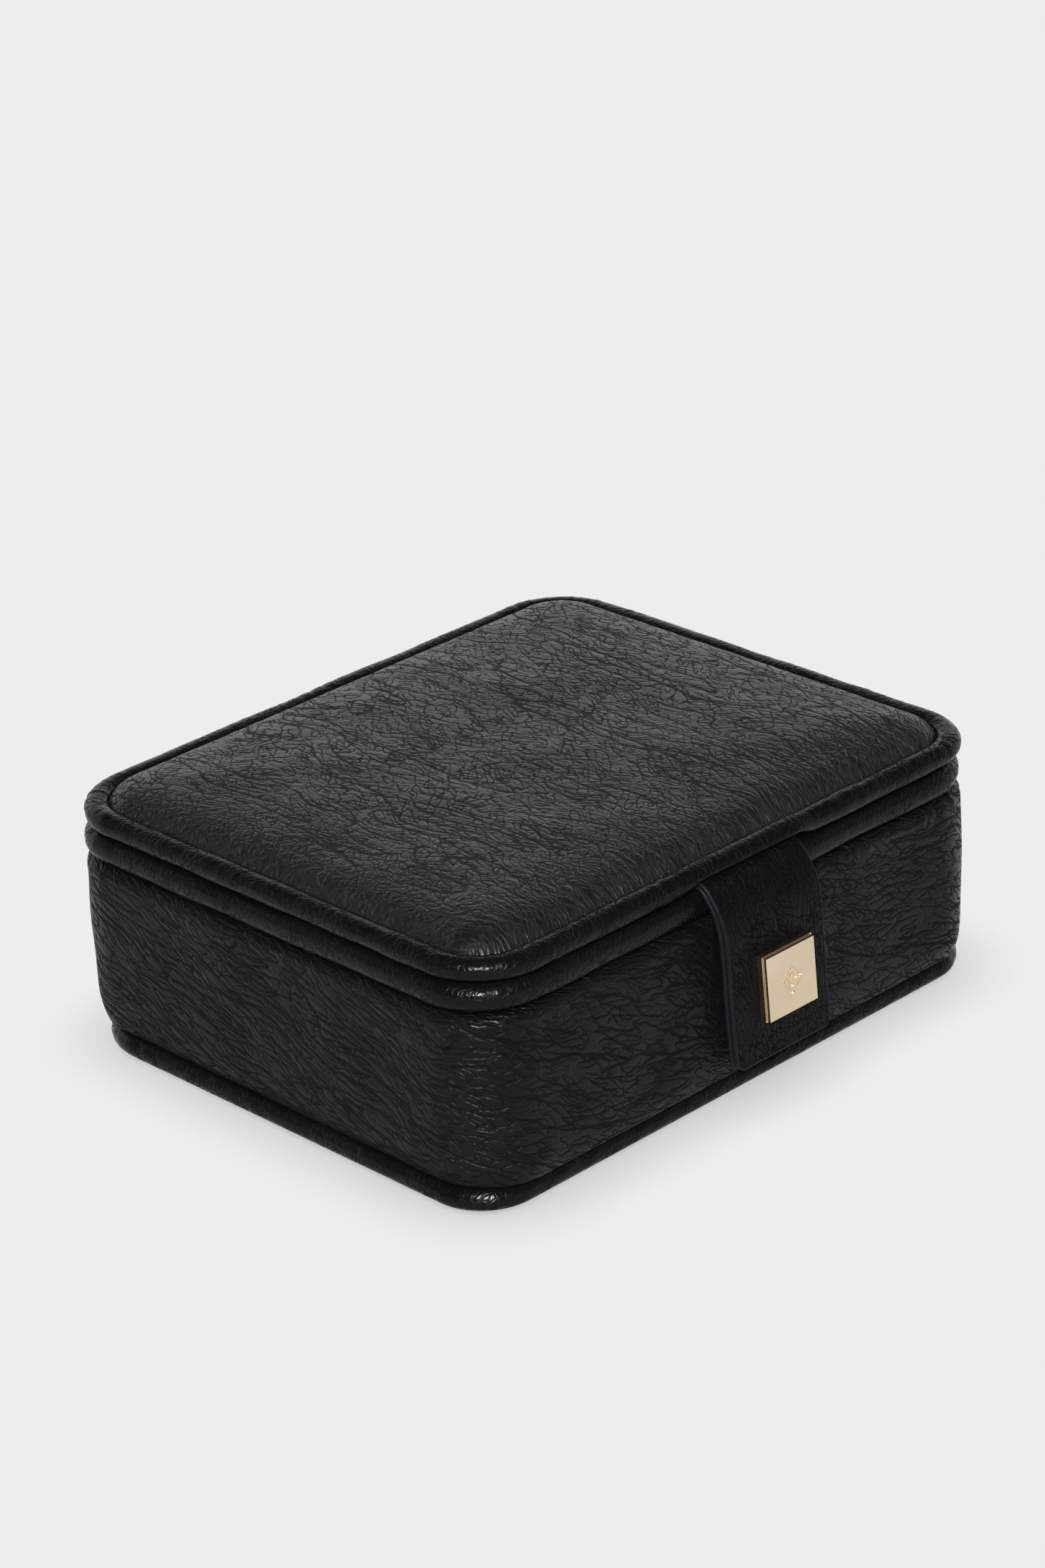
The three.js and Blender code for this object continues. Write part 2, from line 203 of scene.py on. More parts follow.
def quads(G, U, V, wrap_i, wrap_j):
    """Vertices, faces and per-corner UVs of a grid of points G[i, j]. U and V carry one more row or column where it wraps."""
    n, m = G.shape[:2]
    idx = np.arange(n * m).reshape(n, m)
    I = np.arange(n if wrap_i else n - 1)
    J = np.arange(m if wrap_j else m - 1)
    ii, jj = np.meshgrid(I, J, indexing="ij")
    i1, j1 = (ii + 1) % n, (jj + 1) % m
    F = np.stack([idx[ii, jj], idx[i1, jj], idx[i1, j1], idx[ii, j1]], -1).reshape(-1, 4)
    uv = np.stack(
        [
            np.stack([U[ii, jj], V[ii, jj]], -1),
            np.stack([U[ii + 1, jj], V[ii + 1, jj]], -1),
            np.stack([U[ii + 1, jj + 1], V[ii + 1, jj + 1]], -1),
            np.stack([U[ii, jj + 1], V[ii, jj + 1]], -1),
        ],
        -2,
    ).reshape(-1, 4, 2)
    return G.reshape(-1, 3), F, uv


def sweep(name, dims, profile, mats, step=0.8, pstep=0.5, disp=None, move=None, smooth_passes=0):
    """A closed profile of (inset, z) points carried round a rounded rectangle. disp(s, v, x, y, z) moves points along the surface's normal, and move(G) changes them freely."""
    P, N, S, L = outline(dims["a"], dims["b"], dims["r"], step)
    prof = densify(profile, pstep)
    for _ in range(smooth_passes):
        prof = 0.5 * prof + 0.25 * (np.roll(prof, 1, 0) + np.roll(prof, -1, 0))
    m = len(prof)
    X, Z = -prof[:, 0], prof[:, 1]
    tx = np.roll(X, -1) - np.roll(X, 1)
    tz = np.roll(Z, -1) - np.roll(Z, 1)
    area = 0.5 * np.sum(X * np.roll(Z, -1) - np.roll(X, -1) * Z)
    sgn = 1 if area > 0 else -1
    ln = np.hypot(tx, tz) + 1e-9
    nx, nz = sgn * tz / ln, -sgn * tx / ln
    seg = np.hypot(np.roll(X, -1) - X, np.roll(Z, -1) - Z)
    v = np.concatenate([[0], np.cumsum(seg)])
    n = len(P)
    G = np.zeros((n, m, 3))
    G[:, :, 0] = P[:, None, 0] + N[:, None, 0] * X[None]
    G[:, :, 1] = P[:, None, 1] + N[:, None, 1] * X[None]
    G[:, :, 2] = Z[None]
    s2 = np.concatenate([S, [L]])
    U = np.repeat(s2[:, None], m + 1, 1)
    V = np.repeat(v[None], n + 1, 0)
    if disp is not None:
        D = disp(U[:n, :m], V[:n, :m], G[:, :, 0], G[:, :, 1], G[:, :, 2], L)
        G[:, :, 0] += D * nx[None] * N[:, None, 0]
        G[:, :, 1] += D * nx[None] * N[:, None, 1]
        G[:, :, 2] += D * nz[None]
    if move is not None:
        G = move(G)
    verts, F, uv = quads(G, U, V, True, True)
    return new_object(name, verts, F, uv, mats)


def corner_radius(r, X, Y):
    """The radius that holds in each point's quarter of the plan."""
    if not isinstance(r, tuple):
        return r
    return np.where(X < 0, np.where(Y > 0, r[0], r[1]), np.where(Y > 0, r[3], r[2]))


def rr_grid(a, b, r, nx, ny):
    """A grid of points whose border follows a rounded rectangle and whose inside is nearly even."""
    u, v = np.meshgrid(np.linspace(-1, 1, nx + 1), np.linspace(-1, 1, ny + 1), indexing="ij")
    r = corner_radius(r, u, v)
    m = np.maximum(abs(u), abs(v))
    ms = np.where(m < 1e-9, 1, m)
    bx, by = u / ms, v / ms  # on the unit square's border
    # the same direction on the outline: walk the border with the corners rounded
    px, py = bx * a, by * b
    cx, cy = a - r, b - r
    qx, qy = np.clip(px, -cx, cx), np.clip(py, -cy, cy)
    dx, dy = px - qx, py - qy
    dl = np.hypot(dx, dy)
    in_corner = (abs(px) > cx) & (abs(py) > cy)
    # map the two sides of the square corner evenly onto the arc
    t = np.where(abs(by) >= abs(bx), (abs(px) - cx) / r, 2 - (abs(py) - cy) / r)
    ang = (1 - np.clip(t, 0, 2) / 2) * PI / 2
    ox = np.where(in_corner, np.sign(px) * (cx + r * np.cos(ang)), px)
    oy = np.where(in_corner, np.sign(py) * (cy + r * np.sin(ang)), py)
    w = m**3
    X = m * ((1 - w) * px + w * ox)
    Y = m * ((1 - w) * py + w * oy)
    return X, Y


def inside(X, Y, a, b, r):
    """How far inside the rounded rectangle a point is, in mm."""
    r = corner_radius(r, X, Y)
    qx, qy = abs(X) - (a - r), abs(Y) - (b - r)
    out = np.hypot(np.maximum(qx, 0), np.maximum(qy, 0))
    return r - out - np.minimum(np.maximum(qx, qy), 0)


def cushion(name, a, b, r, z_low, top, mats, nx=150, ny=128, bottom=None, skirt=3):
    """A closed pad on a rounded-rectangle plan. top(X, Y, D) and bottom(X, Y, D) give heights, D being the distance from the edge."""
    X, Y = rr_grid(a, b, r, nx, ny)
    D = np.maximum(inside(X, Y, a, b, r), 0)
    T = np.stack([X, Y, top(X, Y, D)], -1)
    B = np.stack([X, Y, bottom(X, Y, D) if bottom else np.full_like(X, z_low)], -1)
    vt, ft, ut = quads(T, X, Y, False, False)
    vb, fb, ub = quads(B, X, Y, False, False)
    n, m = X.shape
    idx = np.arange(n * m).reshape(n, m)
    ring = np.concatenate([idx[:-1, 0], idx[-1, :-1], idx[:0:-1, -1], idx[0, :0:-1]])
    k = len(ring)
    rt, rb = vt[ring], vb[ring]
    per = np.concatenate([[0], np.cumsum(np.linalg.norm(np.roll(rt, -1, 0) - rt, axis=1))])
    rows = [ring]
    verts = [vt, vb]
    base = len(vt) + len(vb)
    for q in range(1, skirt):
        t = q / skirt
        verts.append((1 - t) * rt + t * rb)
        rows.append(base + np.arange(k))
        base += k
    rows.append(ring + len(vt))
    hs = np.linalg.norm(rt - rb, axis=1)
    fs, us = [], []
    for q in range(skirt):
        A, Bq = rows[q], rows[q + 1]
        j = np.arange(k)
        j1 = (j + 1) % k
        fs.append(np.stack([A[j], A[j1], Bq[j1], Bq[j]], -1))
        v0, v1 = hs[j] * q / skirt, hs[j] * (q + 1) / skirt
        us.append(
            np.stack(
                [
                    np.stack([per[j], v0], -1),
                    np.stack([per[j + 1], v0], -1),
                    np.stack([per[j + 1], v1], -1),
                    np.stack([per[j], v1], -1),
                ],
                -2,
            )
        )
    F = np.concatenate([ft, fb + len(vt)] + fs)
    UV = np.concatenate([ut, ub] + us)
    return new_object(name, np.concatenate(verts), F, UV, mats)


def catmull(points, step):
    """A smooth line through points (y, z), evenly spaced."""
    p = np.array(points, float)
    q = np.vstack([2 * p[0] - p[1], p, 2 * p[-1] - p[-2]])
    out = []
    for k in range(1, len(q) - 2):
        p0, p1, p2, p3 = q[k - 1], q[k], q[k + 1], q[k + 2]
        t = np.linspace(0, 1, 24, endpoint=False)[:, None]
        out.append(
            0.5
            * (
                2 * p1
                + (p2 - p0) * t
                + (2 * p0 - 5 * p1 + 4 * p2 - p3) * t**2
                + (3 * p1 - p0 - 3 * p2 + p3) * t**3
            )
        )
    out.append(p[-1:])
    c = np.concatenate(out)
    s = np.concatenate([[0], np.cumsum(np.linalg.norm(np.diff(c, axis=0), axis=1))])
    n = int(round(s[-1] / step))
    e = np.linspace(0, s[-1], n + 1)
    return np.stack([np.interp(e, s, c[:, 0]), np.interp(e, s, c[:, 1])], 1), e


def band(
    name, line, hw, ht, mats, off=0.0, step=0.5, edge=0.5, round0=0.0, round1=0.0, across=44,
    thick=None, shear=None, rim_mat=False, disp=None, s_off=0.0,
):
    """A leather band of half width hw (along X) and half thickness ht, whose middle follows a line in Y-Z moved by off along its normal.
    The edges are rounded over `edge`, and the two ends have corners of radius round0 and round1."""
    C, s = catmull(line, step)
    L = s[-1]
    # rows drawn together at both ends so that the ends are round
    near = np.array([0, 0.03, 0.1, 0.22, 0.4, 0.65, 1.0]) * edge
    for rr in (round0, round1):
        if rr:
            near = np.unique(np.concatenate([near, np.linspace(0, rr, 9)]))
    rows = np.unique(np.concatenate([near, L - near, s[(s > near[-1] + 0.1) & (s < L - near[-1] - 0.1)]]))
    y, z = np.interp(rows, s, C[:, 0]), np.interp(rows, s, C[:, 1])
    ty, tz = np.gradient(C[:, 0], s), np.gradient(C[:, 1], s)
    ty, tz = np.interp(rows, s, ty), np.interp(rows, s, tz)
    ln = np.hypot(ty, tz)
    ny, nz = tz / ln, -ty / ln  # outwards, for a line that runs downwards on the front
    y, z = y + ny * off, z + nz * off
    w = np.full(len(rows), hw)
    for rr, e in ((round0, rows), (round1, L - rows)):
        if rr:
            k = e < rr
            w[k] = hw - rr + np.sqrt(np.maximum(rr**2 - (rr - e[k]) ** 2, 0))
    side = np.array([0, 0.03, 0.1, 0.22, 0.4, 0.65, 1.0]) * edge
    mid = np.linspace(-1, 1, across + 1)
    cols = len(side) * 2 + across - 1
    X = np.zeros((len(rows), cols))
    for i, wi in enumerate(w):
        inner = (wi - edge) * mid[1:-1]
        X[i] = np.concatenate([-wi + side, inner, (wi - side)[::-1]])
    dist = np.minimum(w[:, None] - abs(X), np.minimum(rows, L - rows)[:, None])
    dist = np.maximum(dist, 0)
    h = ht * np.sqrt(np.maximum(1 - (1 - np.minimum(dist / edge, 1)) ** 2, 0))
    if thick is not None:
        h = h * np.interp(rows / L, *thick)[:, None]
    extra = disp(X, rows[:, None], dist) if disp is not None else 0 * X
    out = []
    for sgn in (1, -1):
        G = np.zeros((len(rows), cols, 3))
        G[:, :, 0] = X
        G[:, :, 1] = y[:, None] + ny[:, None] * (sgn * h + extra)
        G[:, :, 2] = z[:, None] + nz[:, None] * (sgn * h + extra)
        if shear:
            G[:, :, 0] += shear[0] + shear[1] * (shear[2] - G[:, :, 2])
        out.append(quads(G, X + 37.0, np.repeat(rows[:, None], cols, 1) + s_off, False, False))
    (v1, f1, u1), (v2, f2, u2) = out
    mi = None
    if rim_mat:
        dc = dist.reshape(-1)
        mi1 = (dc[f1].min(1) < edge * 0.9).astype(int)
        mi = np.concatenate([mi1, mi1])
    return new_object(
        name, np.concatenate([v1, v2]), np.concatenate([f1, f2[:, ::-1] + len(v1)]),
        np.concatenate([u1, u2[:, ::-1]]), mats, mi, weld=True,
    )


def loft_bar(name, section, x0, x1, mats, axis="x", end_r=1.0, step=0.9, disp=None, trim=None):
    """A closed section of (side, z) points drawn along X or Y, with rounded ends."""
    sec = np.array(section, float)
    tx = np.roll(sec[:, 0], -1) - np.roll(sec[:, 0], 1)
    tz = np.roll(sec[:, 1], -1) - np.roll(sec[:, 1], 1)
    area = 0.5 * np.sum(sec[:, 0] * np.roll(sec[:, 1], -1) - np.roll(sec[:, 0], -1) * sec[:, 1])
    sg = 1 if area > 0 else -1
    ln = np.hypot(tx, tz) + 1e-9
    nx, nz = sg * tz / ln, -sg * tx / ln
    L = x1 - x0
    e = end_r * (1 - np.cos(np.linspace(0, PI / 2, 7)))
    st = np.unique(np.concatenate([e, L - e, np.linspace(end_r, L - end_r, int(L / step))]))
    dd = np.minimum(st, L - st)
    inset = end_r * (1 - np.sqrt(np.maximum(1 - (1 - np.minimum(dd / end_r, 1)) ** 2, 0)))
    seg = np.hypot(np.roll(sec[:, 0], -1) - sec[:, 0], np.roll(sec[:, 1], -1) - sec[:, 1])
    v = np.concatenate([[0], np.cumsum(seg)])
    m = len(sec)
    V = np.repeat(v[None], len(st), 0)
    U = np.repeat(st[:, None], m + 1, 1)
    D = -inset[:, None] + (disp(U[:, :m], V[:, :m]) if disp is not None else 0)
    G = np.zeros((len(st), m, 3))
    a = sec[None, :, 0] + nx[None] * D
    G[:, :, 2] = sec[None, :, 1] + nz[None] * D
    pos = (x0 + st)[:, None] + 0 * a
    if trim is not None:
        pos = trim(pos, a)
    if axis == "x":
        G[:, :, 0], G[:, :, 1] = pos, a
    else:
        G[:, :, 0], G[:, :, 1] = a, pos
    verts, F, uv = quads(G, U, V, False, True)
    faces = [list(f) for f in F]
    uvs = [list(map(tuple, u)) for u in uv]
    last = (len(st) - 1) * m
    flat = []
    for ring in (list(range(m)), list(range(last, last + m))):
        faces.append(ring)
        flat += [(verts[q][1] if axis == "x" else verts[q][0], verts[q][2]) for q in ring]
    corner_uv = [c for u in uvs for c in u] + flat
    return new_object(name, verts, faces, np.array(corner_uv), mats)


# ------------------------------------------------------------------ materials
def nodes_of(name, color=(0.5, 0.5, 0.5)):
    m = bpy.data.materials.new(name)
    m.use_nodes = True
    m.diffuse_color = (*color, 1)
    nt = m.node_tree
    nt.nodes.clear()
    out = nt.nodes.new("ShaderNodeOutputMaterial")
    b = nt.nodes.new("ShaderNodeBsdfPrincipled")
    nt.links.new(b.outputs[0], out.inputs[0])
    return m, nt, b


class Tree:
    """Short names for wiring a node tree."""

    def __init__(self, nt):
        self.nt = nt

    def node(self, kind, **props):
        n = self.nt.nodes.new(kind)
        for k, v in props.items():
            setattr(n, k, v)
        return n

    def put(self, socket, value):
        if isinstance(value, bpy.types.NodeSocket):
            self.nt.links.new(value, socket)
        else:
            socket.default_value = value

    def math(self, op, a, b=0.0, clamp=False):
        n = self.node("ShaderNodeMath", operation=op, use_clamp=clamp)
        self.put(n.inputs[0], a)
        self.put(n.inputs[1], b)
        return n.outputs[0]

    def vec(self, op, a, b=None, scale=None):
        n = self.node("ShaderNodeVectorMath", operation=op)
        self.put(n.inputs[0], a)
        if b is not None:
            self.put(n.inputs[1], b)
        if scale is not None:
            self.put(n.inputs["Scale"], scale)
        return n.outputs[0]

    def mapping(self, v, rot=0.0, scale=(1, 1, 1), loc=(0, 0, 0)):
        n = self.node("ShaderNodeMapping")
        self.put(n.inputs["Vector"], v)
        n.inputs["Rotation"].default_value = (0, 0, rot)
        n.inputs["Scale"].default_value = scale
        n.inputs["Location"].default_value = loc
        return n.outputs[0]

    def noise(self, v, scale, detail=2.0, rough=0.5, dims="3D", color=False, distortion=0.0):
        n = self.node("ShaderNodeTexNoise", noise_dimensions=dims)
        self.put(n.inputs["Vector"], v)
        n.inputs["Scale"].default_value = scale
        n.inputs["Detail"].default_value = detail
        n.inputs["Roughness"].default_value = rough
        n.inputs["Distortion"].default_value = distortion
        return n.outputs["Color" if color else "Fac"]

    def voronoi(self, v, scale=1.0, feature="DISTANCE_TO_EDGE", dims="2D", rand=1.0, smooth=None):
        n = self.node("ShaderNodeTexVoronoi", feature=feature, voronoi_dimensions=dims)
        self.put(n.inputs["Vector"], v)
        n.inputs["Scale"].default_value = scale
        n.inputs["Randomness"].default_value = rand
        if smooth is not None:
            n.inputs["Smoothness"].default_value = smooth
        return n.outputs["Distance"]

    def remap(self, v, a, b, c, d, kind="SMOOTHSTEP"):
        n = self.node("ShaderNodeMapRange", interpolation_type=kind)
        self.put(n.inputs["Value"], v)
        for k, x in zip(("From Min", "From Max", "To Min", "To Max"), (a, b, c, d)):
            self.put(n.inputs[k], x)
        return n.outputs["Result"]

    def mix(self, f, a, b):
        n = self.node("ShaderNodeMix", data_type="RGBA")
        self.put(n.inputs[0], f)
        self.put(n.inputs[6], a)
        self.put(n.inputs[7], b)
        return n.outputs[2]

    def bump(self, height, distance, strength=1.0, normal=None):
        n = self.node("ShaderNodeBump")
        n.inputs["Strength"].default_value = strength
        n.inputs["Distance"].default_value = distance
        self.put(n.inputs["Height"], height)
        if normal is not None:
            self.put(n.inputs["Normal"], normal)
        return n.outputs["Normal"]


def leather(
    name, angle=0.0, base=(0.0026, 0.0027, 0.0030), rough=0.36, spec=0.16,
    strands=((8.0, 1.9, 0.5, 0.2), (7.0, 1.9, 0.4, -0.22), (18.0, 6.0, 0.3, 0.0)), line=0.04,
    pebble=0.6, pebble_depth=0.12, depth=0.3, swirl=6.0, calm=(0.34, 0.62, 0.45), wear=0.0, crease_shade=0.35,
):
    """Black leather, drawn on the piece's own surface coordinates in mm: families of creases, each a (length, width, depth, turn)
    that runs along `angle`, crossing each other at a slant, with pebbles and pores between them. swirl bends their course by so many mm."""
    m, nt, b = nodes_of(name, base)
    t = Tree(nt)
    uv = t.node("ShaderNodeUVMap", uv_map="leather").outputs[0]
    mm = t.vec("MULTIPLY", uv, (100, 100, 100))
    slow = t.vec("SUBTRACT", t.noise(mm, 0.034, 1.5, 0.5, "2D", True), (0.5, 0.5, 0.5))
    bent = t.vec("ADD", mm, t.vec("SCALE", slow, scale=swirl))
    shake = t.vec("SUBTRACT", t.noise(mm, 0.32, 1, 0.5, "2D", True), (0.5, 0.5, 0.5))
    bent = t.vec("ADD", bent, t.vec("SCALE", shake, scale=0.9))
    amount = t.remap(t.noise(mm, 0.07, 2, 0.5, "2D"), calm[0], calm[1], calm[2], 1.0)
    height, cav = None, None
    for k, (length, width, weight, turn) in enumerate(strands):
        c = t.mapping(t.mapping(bent, rot=-angle - turn, loc=(17.3 * k, 9.1 * k, 0)), scale=(1 / length, 1 / width, 1))
        n = t.noise(c, 1.0, 0.5, 0.5, "2D")
        n2 = t.noise(t.vec("ADD", c, (0.0, 0.1, 0.0)), 1.0, 0.5, 0.5, "2D")
        # distance in mm to the nearest crease: the noise's height over its slope across the run, so that every crease is as thin
        off = t.math("ABSOLUTE", t.math("SUBTRACT", n, 0.5))
        slope = t.math("MULTIPLY", t.math("ABSOLUTE", t.math("SUBTRACT", n2, n)), 10.0)
        away = t.math("MULTIPLY", t.math("DIVIDE", off, t.math("MAXIMUM", slope, max(0.9 * width / length, 0.2))), width)
        narrow = t.remap(away, 0.0, line * width**0.5, 0.0, 1.0)
        broad = t.remap(away, 0.0, 0.5 * width, 0.0, 1.0)
        ridge = t.math("ADD", t.math("MULTIPLY", narrow, 0.74), t.math("MULTIPLY", broad, 0.26))
        # a crease fades in and out along its run
        own = t.remap(t.noise(c, 0.6, 1, 0.5, "2D"), 0.32, 0.52, 0.3, 1.0)
        gain = t.math("MULTIPLY", amount, own)
        h = t.math("SUBTRACT", 1.0, t.math("MULTIPLY", t.math("SUBTRACT", 1.0, ridge), gain))
        part = t.math("MULTIPLY", h, weight)
        height = part if height is None else t.math("ADD", height, part)
        # painted shade: how far this family's creases darken the colour
        dark = t.math("SUBTRACT", 1.0, t.math("MULTIPLY", t.math("SUBTRACT", 1.0, narrow), gain))
        cav = dark if cav is None else t.math("MULTIPLY", cav, dark)
    peb = t.voronoi(bent, scale=1 / pebble, feature="SMOOTH_F1", smooth=0.5)
    height = t.math("SUBTRACT", height, t.math("MULTIPLY", peb, pebble_depth))
    micro = t.noise(mm, 4.0, 2, 0.6, "2D")
    height = t.math("ADD", height, t.math("MULTIPLY", micro, 0.03))
    t.put(b.inputs["Normal"], t.bump(height, depth * MM))
    # colour: painted shade darkens the creases, and the finish is a little lighter where it is rubbed
    rub = t.remap(t.noise(mm, 0.035, 3, 0.55, "2D"), 0.42, 0.7, 0.0, 1.0)
    light = tuple(c * (1.35 + wear) for c in base)
    # painted shade in the creases: the base colour scaled down, mixed in along the crease lines
    dark = tuple(c * crease_shade for c in base)
    col = t.mix(rub, (*base, 1), (*light, 1))
    col = t.mix(t.remap(cav, 0.05, 0.9, 0.0, 1.0), (*dark, 1), col)
    t.put(b.inputs["Base Color"], col)
    rr = t.remap(cav, 0.0, 1.0, min(rough + 0.45, 0.95), rough)
    rr = t.math("ADD", rr, t.math("MULTIPLY", t.math("SUBTRACT", t.noise(mm, 0.5, 3, 0.6, "2D"), 0.5), 0.12))
    t.put(b.inputs["Roughness"], rr)
    b.inputs["Specular IOR Level"].default_value = spec
    return m


def edge_paint():
    """The painted, polished edge of the strap."""
    m, nt, b = nodes_of("leather_edge", (0.01, 0.01, 0.01))
    t = Tree(nt)
    obj = t.node("ShaderNodeTexCoord").outputs["Object"]
    n = t.noise(obj, 900, 3, 0.55)
    t.put(b.inputs["Base Color"], t.mix(n, (0.004, 0.004, 0.005, 1), (0.009, 0.009, 0.010, 1)))
    t.put(b.inputs["Roughness"], t.remap(n, 0.3, 0.7, 0.34, 0.5))
    b.inputs["Specular IOR Level"].default_value = 0.07
    t.put(b.inputs["Normal"], t.bump(t.noise(obj, 700, 2, 0.5), 0.00005))
    return m


def suede(name="suede", base=(0.235, 0.19, 0.145)):
    m, nt, b = nodes_of(name, base)
    t = Tree(nt)
    obj = t.node("ShaderNodeTexCoord").outputs["Object"]
    patch = t.remap(t.noise(obj, 90, 3, 0.6), 0.35, 0.65, 0.0, 1.0)
    nap = t.noise(t.mapping(obj, scale=(1, 1, 2.2)), 2600, 3, 0.65)
    dark, light = tuple(c * 0.78 for c in base), tuple(min(1, c * 1.22) for c in base)
    col = t.mix(patch, (*dark, 1), (*light, 1))
    col = t.mix(t.remap(nap, 0.3, 0.7, 0.0, 0.5), col, (*tuple(c * 0.6 for c in base), 1))
    t.put(b.inputs["Base Color"], col)
    t.put(b.inputs["Roughness"], t.remap(nap, 0.2, 0.8, 0.82, 0.96))
    b.inputs["Sheen Weight"].default_value = 0.45
    b.inputs["Sheen Roughness"].default_value = 0.4
    b.inputs["Sheen Tint"].default_value = (0.9, 0.82, 0.72, 1)
    b.inputs["Specular IOR Level"].default_value = 0.2
    t.put(b.inputs["Normal"], t.bump(nap, 0.00012))
    return m


def board():
    m, nt, b = nodes_of("board", (0.3, 0.27, 0.22))
    t = Tree(nt)
    obj = t.node("ShaderNodeTexCoord").outputs["Object"]
    n = t.noise(t.mapping(obj, scale=(1, 1, 6)), 500, 4, 0.65)
    t.put(b.inputs["Base Color"], t.mix(n, (0.22, 0.19, 0.15, 1), (0.38, 0.345, 0.285, 1)))
    b.inputs["Roughness"].default_value = 0.9
    t.put(b.inputs["Normal"], t.bump(n, 0.0001))
    return m


def metal(name, dark, light, rough, grain, stretch=(1, 1, 1), bump=0.00001):
    m, nt, b = nodes_of(name, light)
    t = Tree(nt)
    obj = t.node("ShaderNodeTexCoord").outputs["Object"]
    n = t.noise(t.mapping(obj, scale=stretch), grain, 4, 0.6)
    big = t.noise(obj, 120, 2, 0.5)
    t.put(b.inputs["Base Color"], t.mix(big, (*dark, 1), (*light, 1)))
    b.inputs["Metallic"].default_value = 1.0
    t.put(b.inputs["Roughness"], t.remap(n, 0.25, 0.75, rough[0], rough[1]))
    t.put(b.inputs["Normal"], t.bump(n, bump))
    return m


def mirror():
    m, nt, b = nodes_of("mirror", (0.86, 0.88, 0.89))
    t = Tree(nt)
    obj = t.node("ShaderNodeTexCoord").outputs["Object"]
    smear = t.remap(t.noise(t.mapping(obj, rot=0.6, scale=(1, 3, 1)), 60, 4, 0.6), 0.45, 0.75, 0.0, 1.0)
    t.put(b.inputs["Base Color"], t.mix(smear, (0.88, 0.9, 0.905, 1), (0.84, 0.86, 0.87, 1)))
    b.inputs["Metallic"].default_value = 1.0
    t.put(b.inputs["Roughness"], t.math("ADD", t.math("MULTIPLY", smear, 0.035), 0.015))
    return m


LEATHER_TOP = leather(
    "leather_top", angle=math.radians(86), rough=0.36, spec=0.28, base=(0.0034, 0.0035, 0.0037),
    strands=((5.4, 1.9, 0.36, 0.44), (5.0, 1.8, 0.34, -0.44), (24.0, 5.5, 0.55, 0.05)), line=0.24,
    pebble=0.8, pebble_depth=0.22, depth=0.4, swirl=9.0, calm=(0.3, 0.6, 0.68), crease_shade=0.3,
)
LEATHER_WALL = leather(
    "leather_wall", angle=math.radians(-20), rough=0.31, spec=0.11, base=(0.0026, 0.0027, 0.0031),
    strands=((7.5, 1.8, 0.5, 0.2), (6.2, 1.75, 0.42, -0.27), (20.0, 4.2, 0.5, 0.0)), line=0.27,
    pebble=0.7, pebble_depth=0.08, depth=0.5, swirl=6.0, calm=(0.3, 0.6, 0.7), crease_shade=0.25,
)
LEATHER_ROLL = leather(
    "leather_roll", angle=math.radians(62), rough=0.19, spec=0.11, base=(0.0022, 0.0023, 0.0026),
    strands=((3.4, 1.8, 0.4, 0.3), (3.0, 1.7, 0.35, -0.5)), line=0.22, pebble=0.6, pebble_depth=0.22,
    depth=0.15, swirl=2.5, calm=(0.34, 0.6, 0.4), crease_shade=0.3,
)
LEATHER_STRAP = leather(
    "leather_strap", angle=math.radians(66), rough=0.32, spec=0.05, base=(0.0022, 0.0023, 0.0026),
    strands=((4.5, 1.7, 0.45, 0.4), (4.0, 1.6, 0.4, -0.45)), line=0.22, pebble=0.7, pebble_depth=0.28,
    depth=0.36, swirl=4.0, calm=(0.36, 0.6, 0.4), crease_shade=0.3,
)
LEATHER_FLAT = leather(
    "leather_flat", angle=math.radians(15), rough=0.42, spec=0.2, depth=0.3, line=0.25,
)
EDGE = edge_paint()
SUEDE = suede()
BOARD = board()
GOLD = metal("gold", (0.71, 0.555, 0.40), (0.81, 0.68, 0.52), (0.16, 0.3), 2500, (1, 1, 1), 0.000006)
STEEL = metal("steel", (0.5, 0.51, 0.52), (0.62, 0.63, 0.64), (0.25, 0.4), 3000)
MIRROR = mirror()


def paint(node, mat):
    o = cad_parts[node]
    o.data.materials.clear()
    o.data.materials.append(mat)


def done(o, body, slot, *nodes):
    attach(o, body)
    if nodes:
        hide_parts(*nodes)
    return o


# ------------------------------------------------------------------ base: bottom board
def lumps(seed, amp, lo=9, hi=30):
    def d(s, v, x, y, z, L):
        return amp * waves(seed, lo, hi, 30, period=L)(s, v)

    return d


def roll_skin(seed, amp=0.05, pucker=0.05):
    """Uneven hand-wrapped leather on a narrow roll: slow lumps, and short creases across it."""

    def d(s, v, x, y, z, L):
        slow = waves(seed, 12, 40, 24, period=L)(s, v * 0.6)
        tight = waves(seed + 1, 1.9, 4.5, 40, period=L, angle=PI / 2, stretch=2.2)(s, v)
        where = smooth(waves(seed + 2, 14, 40, 16, period=L)(s, v * 0), -0.3, 1.2)
        return amp * slow + pucker * (0.35 + 0.65 * where) * tight * 0.6

    return d


prof = (
    [(13.0, 0.0), (1.9, 0.0)]
    + corner(1.9, 1.95, -1.9, -1.95, 90, 0, 9, 2.1)
    + corner(2.6, 1.95, -2.6, 2.75, 0, 90, 10, 2.1)[1:]
    + [(6.0, 4.7), (6.4, 4.3), (13.0, 4.3)]
)
o = sweep("bottom_leather", BOT, prof, [LEATHER_ROLL], pstep=0.45, disp=None)
me = o.data
